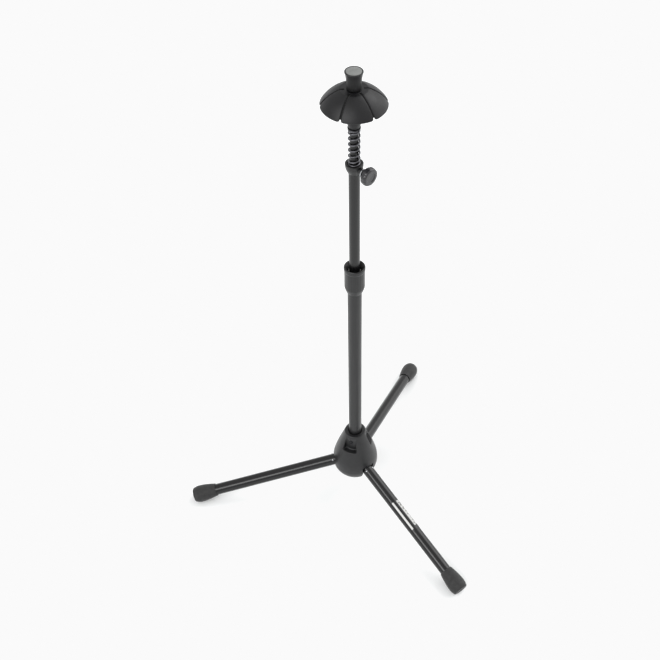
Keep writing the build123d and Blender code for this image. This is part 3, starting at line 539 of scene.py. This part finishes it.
def coil(steps_per_turn=48, ring=14):
    """Wire along a helix: centre (R cos a, R sin a, h(a)), where h sums a pitch that is one wire at the
    ends and wide between them."""
    wire = SPRING["wire"] / 2
    turns = np.linspace(0, SPRING["turns"], int(SPRING["turns"] * steps_per_turn) + 1)
    from_end = np.minimum(turns, SPRING["turns"] - turns)
    open_share = np.clip((from_end - CLOSED_TURNS) / OPENING_TURNS, 0, 1)
    open_share = open_share ** 2 * (3 - 2 * open_share)
    rise = np.gradient(turns)
    closed_height = (rise * SPRING["wire"]).sum()
    room = SPRING["top"] - SPRING["foot"] - 2 * SEAT_SHARE * SPRING["wire"]
    pitch = SPRING["wire"] + open_share * (room - closed_height) / (rise * open_share).sum()
    height = SPRING["foot"] + SEAT_SHARE * SPRING["wire"] + np.cumsum(pitch * rise) - pitch[0] * rise[0]
    angle = 2 * np.pi * (turns + SPRING["start"])
    radial = np.stack([np.cos(angle), np.sin(angle), 0 * angle], axis=-1)
    slope = pitch / (2 * np.pi * SPRING["coil"])
    across = np.stack([np.sin(angle) * slope, -np.cos(angle) * slope, 1 + 0 * angle], axis=-1)
    across = across / np.linalg.norm(across, axis=1, keepdims=True)
    centre = radial * SPRING["coil"] + np.stack([0 * angle, 0 * angle, height], axis=-1)
    section = around(ring)[None, :, None]
    tube = centre[:, None] + wire * (np.cos(section) * radial[:, None] + np.sin(section) * across[:, None])
    ends = [np.repeat(tube[i].mean(axis=0)[None, None], ring, axis=1) for i in (0, -1)]
    tube = np.concatenate([ends[0], tube, ends[1]])
    tube[..., 2] = np.clip(tube[..., 2], SPRING["foot"], SPRING["top"])
    return tube


spring = skin("plunger_spring_coil", coil(), spring_steel)
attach(spring, "upper_mast")
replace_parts(spring, "spring")
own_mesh(spring)
print("spring:", len(spring.data.polygons), "faces")

# %% [markdown]
# ## Thumb knob
# The knob is a thick moulded disc with ten finger scallops and a dished face, on a short neck. Its
# profile is turned about the screw's axis, and each scallop takes a bell-shaped bite out of the radius,
# stronger towards the rim, so the flat face and the neck stay round.

# %% Thumb knob
COLLAR_FOOT, COLLAR_TOP = heights("top_collar")
SCREW_DROP = 8.5
SCREW_ANGLE, SCREW_HEIGHT = math.radians(-44.0), COLLAR_TOP - SCREW_DROP
screw_way = np.array([math.cos(SCREW_ANGLE), math.sin(SCREW_ANGLE), 0.0])
screw_origin = np.array([0.0, 0.0, SCREW_HEIGHT])
KNOB_RIM, SCALLOPS, SCALLOP_DEPTH, SCALLOP_WIDTH = 13.2, 10, 0.4, 1.7
FACE_RADIUS, FACE_FADE = 8.5, 4.0  # the face is round to here, and the scallops are full this much further


def knob_surface(count=240):
    """Turned disc whose radius loses depth * exp(-(arc / width)^2) at each scallop, times a share that
    rises from nothing at the face to all near the rim."""
    profile = softened(
        [(0.0, 18.0), (5.5, 18.0), (5.5, 22.0), (11.0, 22.0), (KNOB_RIM, 24.2), (KNOB_RIM, 29.6),
         (11.6, 32.0), (7.3, 32.0), (6.6, 30.9), (0.0, 30.8)],
        [0.01, 0.5, 0.5, 1.2, 1.4, 2.6, 1.6, 0.5, 0.6, 0.01], 7)
    grid = turned(profile, count)
    radius = profile[:, 0, None]
    angle = around(count)[None, :]
    pitch = 2 * np.pi / SCALLOPS
    arc = (np.mod(angle, pitch) - pitch / 2) * KNOB_RIM
    share = np.clip((radius - FACE_RADIUS) / FACE_FADE, 0, 1)
    bite = SCALLOP_DEPTH * np.exp(-(arc / SCALLOP_WIDTH) ** 2) * share ** 2 * (3 - 2 * share)
    grid[..., :2] *= ((radius - bite) / np.maximum(radius, 1e-6))[..., None]
    return grid


knob_grid = stood(knob_surface(), screw_origin, screw_way, (0, 0, 1))
knob = even_shading(skin("thumb_knob_scalloped", knob_grid, knob_plastic))
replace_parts(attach(knob, "thumb_screw"), "thumb_knob")
print("knob:", len(knob.data.polygons), "faces")

# %% [markdown]
# ## Collar and clutch sleeve
# The collar is moulded onto the top of the inner mast, with a boss for the thumb screw. The sleeve
# below is turned by hand to grip the mast: it flares from the tube to a fluted body, ends in a wide
# lip, and has a funnel in its mouth. Both are turned, and the sleeve's flutes press the radius in a
# quarter of a millimetre, twenty-four times round.

# %% Collar
collar_profile = softened(
    [(8.0, COLLAR_FOOT), (8.9, COLLAR_FOOT), (11.1, COLLAR_FOOT + 4.5), (12.5, COLLAR_TOP - 6),
     (12.8, COLLAR_TOP), (9.4, COLLAR_TOP), (9.4, COLLAR_TOP - 4), (8.0, COLLAR_TOP - 4)],
    [0.2, 0.4, 2.5, 2.5, 0.9, 0.6, 0.3, 0.2])
collar = even_shading(skin("top_collar_ring", turned(collar_profile), grip_nylon, rows_close=True))
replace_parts(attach(collar, "upper_mast"), "top_collar")

boss_profile = softened(
    [(4.0, 9.0), (5.9, 9.0), (5.5, 12.4), (5.5, 16.0), (4.0, 16.0)], [0.1, 0.5, 0.8, 0.5, 0.3])
boss_grid = stood(turned(boss_profile, 72), screw_origin, screw_way, (0, 0, 1))
boss = even_shading(skin("top_collar_boss", boss_grid, grip_nylon, rows_close=True))
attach(boss, "upper_mast")
print("collar:", len(collar.data.polygons), "faces, and its boss", len(boss.data.polygons))

# %% Clutch sleeve
FLUTES, FLUTE_DEPTH = 24, 0.25
FLUTE_START, FLUTE_END, FADE_IN, FADE_OUT = 10, 42, 4, 2  # millimetres above the sleeve's foot
BORE_LIMIT = 14.9  # every point of the fluted side is further out than this, and the bore is inside it
GRIP_FOOT = heights("clutch_sleeve")[0]


def sleeve_surface(count=288):
    """Turned sleeve whose outer radius loses the flute depth times cos^4 of half the flute phase, over
    the body's height only. Heights are counted from the sleeve's foot."""
    profile = softened(
        [(11.3, 0.0), (12.2, 0.0), (13.9, 5.0), (15.3, 9.5), (15.6, 12.5), (15.6, 43.0),
         (16.2, 44.3), (16.2, 49.4), (15.1, 50.5), (14.6, 50.5), (9.3, 44.5), (9.3, 40.6),
         (12.9, 40.6), (12.9, 8.0), (11.3, 6.5)],
        [0.2, 0.4, 3.5, 3.5, 3.0, 0.6, 0.5, 1.1, 0.4, 0.4, 0.8, 0.3, 0.3, 0.3, 0.3], 6)
    grid = turned(profile, count)
    height = profile[:, 1, None]
    flute = np.cos(np.mod(around(count)[None, :] * FLUTES, 2 * np.pi) / 2) ** 4
    rise, fall = (height - FLUTE_START) / FADE_IN, (FLUTE_END - height) / FADE_OUT
    body = np.clip(rise, 0, 1) * np.clip(fall, 0, 1) * (profile[:, 0, None] > BORE_LIMIT)
    grid[..., :2] *= (1 - FLUTE_DEPTH * flute * body / profile[:, 0, None])[..., None]
    grid[..., 2] += GRIP_FOOT
    return grid


sleeve = even_shading(skin("clutch_sleeve_grip", sleeve_surface(), grip_nylon, rows_close=True))
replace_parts(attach(sleeve, "clutch"), "clutch_sleeve")
print("sleeve:", len(sleeve.data.polygons), "faces")

# %% [markdown]
# ## Feet
# Each foot is a rubber boot that swells towards its end and lies on the floor along a flat. It is
# turned about the leg's axis, and every point that would be below the floor is lifted to it, which
# gives the same flat that the floor presses into the rubber.

# %% Feet
LEG_ANGLES = {"rear": 67.5, "left": 187.5, "front": 307.5}
PIVOT_RADIUS, PIVOT_HEIGHT = 24.0, 80.0
FOOT_LENGTH, FOOT_REACH, END_RADIUS, SOLE_DEPTH = 42.0, 297.0, 12.4, 0.8
MOUTH_RADIUS, BELLY_RADIUS, BOOT_END, LIP = 11.4, 15.2, 13.1, 0.9
BELLY_BACK, ROLL_LENGTH, ROLL_DRAW, ROLL_TAPER = 12.0, 1.6, 1.7, 0.5
FIRST_SLOPE, SLOPE_ROUNDS = 14, 30

# The slope fixes how high the foot's axis is, and that height fixes the slope, so both are worked out
# in turn from a first guess.
leg_slope = math.radians(FIRST_SLOPE)
for _ in range(SLOPE_ROUNDS):
    sole_line = END_RADIUS * math.cos(leg_slope) - SOLE_DEPTH
    leg_slope = math.atan((PIVOT_HEIGHT - sole_line) / (FOOT_REACH - PIVOT_RADIUS))
leg_length = (FOOT_REACH - PIVOT_RADIUS) / math.cos(leg_slope)


def leg_axis(name):
    """Pivot point, direction down the leg, and the direction square to it that points up."""
    angle = math.radians(LEG_ANGLES[name])
    out = np.array([math.cos(angle), math.sin(angle), 0.0])
    pivot = out * PIVOT_RADIUS + np.array([0.0, 0.0, PIVOT_HEIGHT])
    down_leg = out * math.cos(leg_slope) - np.array([0.0, 0.0, math.sin(leg_slope)])
    upward = out * math.sin(leg_slope) + np.array([0.0, 0.0, math.cos(leg_slope)])
    return pivot, down_leg, upward


def foot_side(count=40):
    """Boot's side: the radius swells as a cubic from the mouth to the belly, where it is nearly level,
    and closes as a parabola to the end."""
    start, belly = leg_length - FOOT_LENGTH, leg_length - BELLY_BACK
    end = leg_length - ROLL_LENGTH
    first = np.linspace(0, 1, count)
    second = np.linspace(0, 1, count // 2)[1:]
    growth = 1.55 * first - 0.05 * first ** 2 - 0.5 * first ** 3
    swell = MOUTH_RADIUS + (BELLY_RADIUS - MOUTH_RADIUS) * growth
    close = BELLY_RADIUS - (BELLY_RADIUS - BOOT_END) * second ** 2
    height = np.concatenate([start + LIP + (belly - start - LIP) * first, belly + (end - belly) * second])
    return np.stack([np.concatenate([swell, close]), height], axis=1)


def boot(name):
    """One foot: mouth, side, rolled end and dished end face, lifted to the floor where it would pass it."""
    start = leg_length - FOOT_LENGTH
    roll = np.linspace(0, 0.5 * np.pi, 7)[1:]
    end_roll = np.stack([BOOT_END - ROLL_DRAW * (1 - np.cos(roll)) - ROLL_TAPER * np.sin(roll),
                         leg_length - ROLL_LENGTH + ROLL_LENGTH * np.sin(roll)], axis=1)
    mouth = [(9.6, start + 8.0), (10.0, start + 3.0), (10.9, start), (11.2, start + 0.3)]
    face = [(8.4, leg_length), (7.9, leg_length - 0.8), (0.0, leg_length - 0.9)]
    profile = np.concatenate([[(0.0, start + 8.0)], mouth, foot_side(), end_roll, face])
    pivot, down_leg, upward = leg_axis(name)
    grid = stood(turned(profile, 120), pivot, down_leg, upward)
    grid[..., 2] = np.maximum(grid[..., 2], 0.0)
    return grid


for name in LEG_ANGLES:
    foot = even_shading(skin(f"leg_boot_{name}", boot(name), foot_rubber))
    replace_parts(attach(foot, f"leg_{name}"), f"leg_foot_{name}")
print("leg slope", round(math.degrees(leg_slope), 3), "degrees, leg length", round(leg_length, 1), "mm")

# %% [markdown]
# ## Rivet heads
# Two small rivets hold each leg's tube on its knuckle, just outside the hub. Their bright heads are low
# domes, turned about an axis that stands square on the tube.

# %% Rivet heads
RIVET_PLACE, RIVET_TURN, TUBE_RADIUS = 16.4, 45.0, 10.0
RIVET_RADIUS, RIVET_RISE, RIVET_SINK = 1.7, 0.9, 0.6


def rivet_head(name, turn):
    """Dome whose height falls with the square of its radius. It is set on the leg's tube, turned by
    turn degrees from the tube's top."""
    share = np.linspace(1, 0, 8)
    dome = np.stack([RIVET_RADIUS * share, RIVET_RISE * (1 - share ** 2)], axis=1)
    profile = np.concatenate([[[0.0, -RIVET_SINK], [RIVET_RADIUS, -RIVET_SINK]], dome])
    pivot, down_leg, upward = leg_axis(name)
    turn = math.radians(turn)
    way = math.cos(turn) * upward + math.sin(turn) * np.cross(down_leg, upward)
    return stood(turned(profile, 24), pivot + down_leg * RIVET_PLACE + way * TUBE_RADIUS, way, down_leg)


for name in LEG_ANGLES:
    for side, turn in (("a", RIVET_TURN), ("b", -RIVET_TURN)):
        head = even_shading(skin(f"leg_rivet_{name}_{side}", rivet_head(name, turn), zinc_plate))
        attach(head, f"leg_{name}")
print("rivet heads:", 2 * len(LEG_ANGLES))

# %% [markdown]
# ## Label
# A printed, laminated film is wrapped over the upper side of the front leg. The print here is plain:
# one long pale stripe, and beside it a pale panel with small dark blocks in it. Its edges follow the
# tube, so the print is worked out on the film's own grid and kept as an attribute that the finish reads.

# %% Label
LABEL = {"start": 90.0, "length": 64.0, "arc": 116.0, "turn": -10.0, "radius": 10.25, "film": 0.3,
         "corner": 2.0}
INK_EDGE = 0.25


def bar(x, y, x_mid, half_width, y_from, y_to, corner):
    """1 inside a bar with rounded corners and 0 outside, with an edge INK_EDGE wide between them."""
    half_length = (y_to - y_from) / 2
    dx = np.maximum(np.abs(x - x_mid) - (half_width - corner), 0)
    dy = np.maximum(np.abs(y - (y_from + y_to) / 2) - (half_length - corner), 0)
    return np.clip((corner - np.hypot(dx, dy)) / INK_EDGE + 0.5, 0, 1)


def label_film():
    """Closed film: an outer face on a grid of arc and length, and an inner face just inside the tube."""
    along = np.linspace(0, LABEL["length"], 214)
    half_arc = math.radians(LABEL["arc"] / 2) * LABEL["radius"]
    corner = LABEL["corner"]
    from_end = np.minimum(along, LABEL["length"] - along)
    inset = corner - np.sqrt(np.maximum(corner ** 2 - np.clip(corner - from_end, 0, corner) ** 2, 0))
    share = np.linspace(-1, 1, 72)
    across = np.outer(half_arc - inset, share)
    angle = math.radians(90 + LABEL["turn"]) - across / LABEL["radius"]
    thick = np.ones_like(along)
    thick[[0, -1]] = 0
    outer_radius = LABEL["radius"] - LABEL["film"] * (1 - thick)[:, None] * np.ones_like(angle)
    inner_radius = np.full_like(angle, LABEL["radius"] - LABEL["film"])
    radius = np.concatenate([outer_radius, inner_radius[:, ::-1]], axis=1)
    angle = np.concatenate([angle, angle[:, ::-1]], axis=1)
    pivot, down_leg, upward = leg_axis("front")
    side = np.cross(down_leg, upward)
    place = (pivot + down_leg * (LABEL["start"] + along)[:, None])[:, None]
    wrap = np.cos(angle)[..., None] * -side + np.sin(angle)[..., None] * upward
    return place + radius[..., None] * wrap, along, across


film_grid, along, across = label_film()
print("film grid", film_grid.shape, "arc", round(float(across.max() * 2), 1), "mm")

# %% Print on the film
LAMINATE_IOR, STRIPE_INK, PANEL_INK = 1.49, 0.72, 0.60
BLOCK_DARKNESS, BLOCK_HALF_WIDTH, BLOCK_SHIFT = 0.85, 1.2, -0.6


def label_finish():
    """Laminated film: glossy and black, with pale ink where the print attribute says."""
    material, tree, shader, place = new_finish("laminated_label_film")
    ink = add(tree, "ShaderNodeAttribute", {}, attribute_name="print").outputs["Fac"]
    tree.links.new(blend_colours(tree, ink, "#101011", "#E9E9E6"), shader.inputs["Base Color"])
    tree.links.new(speckle(tree, place, 6, 0.22, 0.32), shader.inputs["Roughness"])
    shader.inputs["IOR"].default_value = LAMINATE_IOR
    return material


def printed(along, across):
    """Pale stripe, and a pale panel less its small dark blocks."""
    x, y = across, np.broadcast_to(along[:, None], across.shape)
    stripe = STRIPE_INK * bar(x, y, -7.4, 1.7, 1.0, 60.5, 1.6)
    panel = PANEL_INK * bar(x, y, 4.0, 3.8, 1.5, 56.0, 1.2)
    blocks = [(3.2, 5.5, 8.5), (5.6, 7.0, 12.0), (3.6, 10.5, 14.0), (5.8, 16.0, 19.0), (3.4, 18.0, 21.5),
              (5.4, 24.5, 27.0), (3.8, 31.0, 33.0), (5.8, 44.0, 47.0), (3.4, 50.0, 53.0), (5.6, 54.0, 57.5)]
    for x_mid, y_from, y_to in blocks:
        block = bar(x, y, x_mid + BLOCK_SHIFT, BLOCK_HALF_WIDTH, y_from, y_to, 0.4)
        panel = np.minimum(panel, 1 - BLOCK_DARKNESS * block)
    return np.maximum(stripe, panel)


ink = np.concatenate([printed(along, across), np.zeros_like(across)], axis=1)
film = skin("leg_label_film", film_grid, label_finish(), ink=ink)
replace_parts(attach(film, "leg_front"), "leg_label")
print("label:", int((ink > 0.5).sum()), "points carry ink")

# %% [markdown]
# ## Finishes of the carried-over parts
# The tubes, the hub, the pins, the screws and the inner parts come straight from the engineering model,
# whose shapes are already right. Each one takes the finish of its real material in every slot of its
# own mesh.

# %% Give every carried-over part its finish
PART_FINISH = {
    "mast_outer_tube": mast_coat, "mast_inner_tube": upper_coat,
    "hub_shell": hub_nylon, "hub_base_plate": hub_nylon, "clutch_holder": hub_nylon,
    "inner_tube_plug": hub_nylon, "guide_bush": grip_nylon,
    "hub_base_screws": zinc_plate, "hub_mast_screw": black_oxide, "screw_washer": zinc_plate,
    "thumb_stud": zinc_plate, "peg_screw": zinc_plate,
    "clutch_collet": acetal, "glide_ring": acetal,
    "glide_circlip": black_oxide, "plunger_rod": rod_coat, "rod_stop_clip": black_oxide,
    "spring_washer": black_oxide, "collar_insert": brass,
}
for name in LEG_ANGLES:
    PART_FINISH[f"leg_tube_{name}"] = leg_coat
    PART_FINISH[f"leg_knuckle_{name}"] = hub_nylon
    PART_FINISH[f"leg_pin_{name}"] = zinc_plate
for name, finish in PART_FINISH.items():
    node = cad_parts[name]
    node.data.materials.clear()
    node.data.materials.append(finish)
print("carried over:", len(PART_FINISH), "nodes")

# %% [markdown]
# ## Floor and studio light
# The stand is on a plain white sweep. A white surrounding gives the even light and the pale reflections
# that draw a black object's edges, and it is shown as white as the floor, so that no horizon is seen.
# Suns stand in for softboxes: two narrow ones at the front left draw a streak along the left and the
# front leg, and two wide ones at the right lift the right sides and lay the faint shadows.

# %% Floor
def floor_finish():
    """Matt white paper, with hardly visible fibres."""
    material, tree, shader, place = new_finish("white_paper_sweep")
    tree.links.new(blend_colours(tree, speckle(tree, place, 2.0, 0.0, 1.0), "#F7F8F8", "#F9FAFA"),
                   shader.inputs["Base Color"])
    shader.inputs["Roughness"].default_value = 0.9
    shader.inputs["Specular IOR Level"].default_value = 0.1
    return material


FLOOR_HALF = 12000.0
floor_grid = np.array([[[-FLOOR_HALF, -FLOOR_HALF, 0.0], [FLOOR_HALF, -FLOOR_HALF, 0.0]],
                       [[-FLOOR_HALF, FLOOR_HALF, 0.0], [FLOOR_HALF, FLOOR_HALF, 0.0]]])
floor = skin("studio_floor", floor_grid, floor_finish(), columns_close=False)
print("floor:", 2 * FLOOR_HALF * MM, "m wide")

# %% Softboxes and white surrounding
LIGHTING_STRENGTH, SHOWN_STRENGTH = 0.85, 1.0


def softbox(name, strength, azimuth, height, width, location):
    """A distant softbox, as a sun that shines from an azimuth counted from +X and a height, and is
    width wide, all in degrees. Its location, in metres, only says where its symbol is drawn."""
    lamp = bpy.data.lights.new(name, "SUN")
    lamp.energy, lamp.angle = strength, math.radians(width)
    holder = bpy.data.objects.new(name, lamp)
    holder.location = location
    holder.rotation_euler = (0, math.radians(90 - height), math.radians(azimuth))
    bpy.context.scene.collection.objects.link(holder)


softbox("upper_right_softbox", 0.9, 38, 44, 44, (2, 1, 3))
softbox("front_strip", 0.7, -114, 44, 24, (-1, -2, 2))
softbox("left_strip", 0.74, -144, 37, 24, (-2, -1, 2))
softbox("right_softbox", 0.8, 20, 24, 60, (2, 1, 1))

world = bpy.data.worlds.new("white_studio")
bpy.context.scene.world = world
world.use_nodes = True
backdrop = world.node_tree.nodes["Background"]
backdrop.inputs["Color"].default_value = linear("#FFFFFF")
seen = add(world.node_tree, "ShaderNodeLightPath", {}).outputs["Is Camera Ray"]
strength = add(world.node_tree, "ShaderNodeMapRange", {
    "Value": seen, "To Min": LIGHTING_STRENGTH, "To Max": SHOWN_STRENGTH})
world.node_tree.links.new(strength.outputs["Result"], backdrop.inputs["Strength"])
print("surrounding: lights at", LIGHTING_STRENGTH, "and is shown at", SHOWN_STRENGTH)

# %% Paper white
# The sheet is lit to just over full white, so a curve holds the brightest tone at the paper's own.
COMBINED_CURVE, PAPER_WHITE = 3, "#FAFAFA"
view = bpy.context.scene.view_settings
view.view_transform, view.look, view.use_curve_mapping = "Standard", "None", True
tone = view.curve_mapping
tone.curves[COMBINED_CURVE].points[1].location = (1.0, linear(PAPER_WHITE)[0])
tone.extend = "HORIZONTAL"
tone.update()

# %% [markdown]
# ## Camera
# The stand is seen from the front and well above, looking down by 48 degrees, with a slightly long lens
# and a small shift that leaves the mast right of the middle.

# %% Camera
LOOK_DOWN = 48.01
lens = bpy.data.cameras.new("studio_camera")
lens.lens, lens.sensor_width = 55.85, 36.0
lens.shift_x, lens.shift_y = -0.0428, 0.0575
camera = bpy.data.objects.new("studio_camera", lens)
camera.location = (0.00538, -1.12314, 1.56459)
camera.rotation_euler = (math.radians(90 - LOOK_DOWN), 0, 0)
bpy.context.scene.collection.objects.link(camera)
bpy.context.scene.camera = camera
print("camera at", tuple(round(v, 3) for v in camera.location))
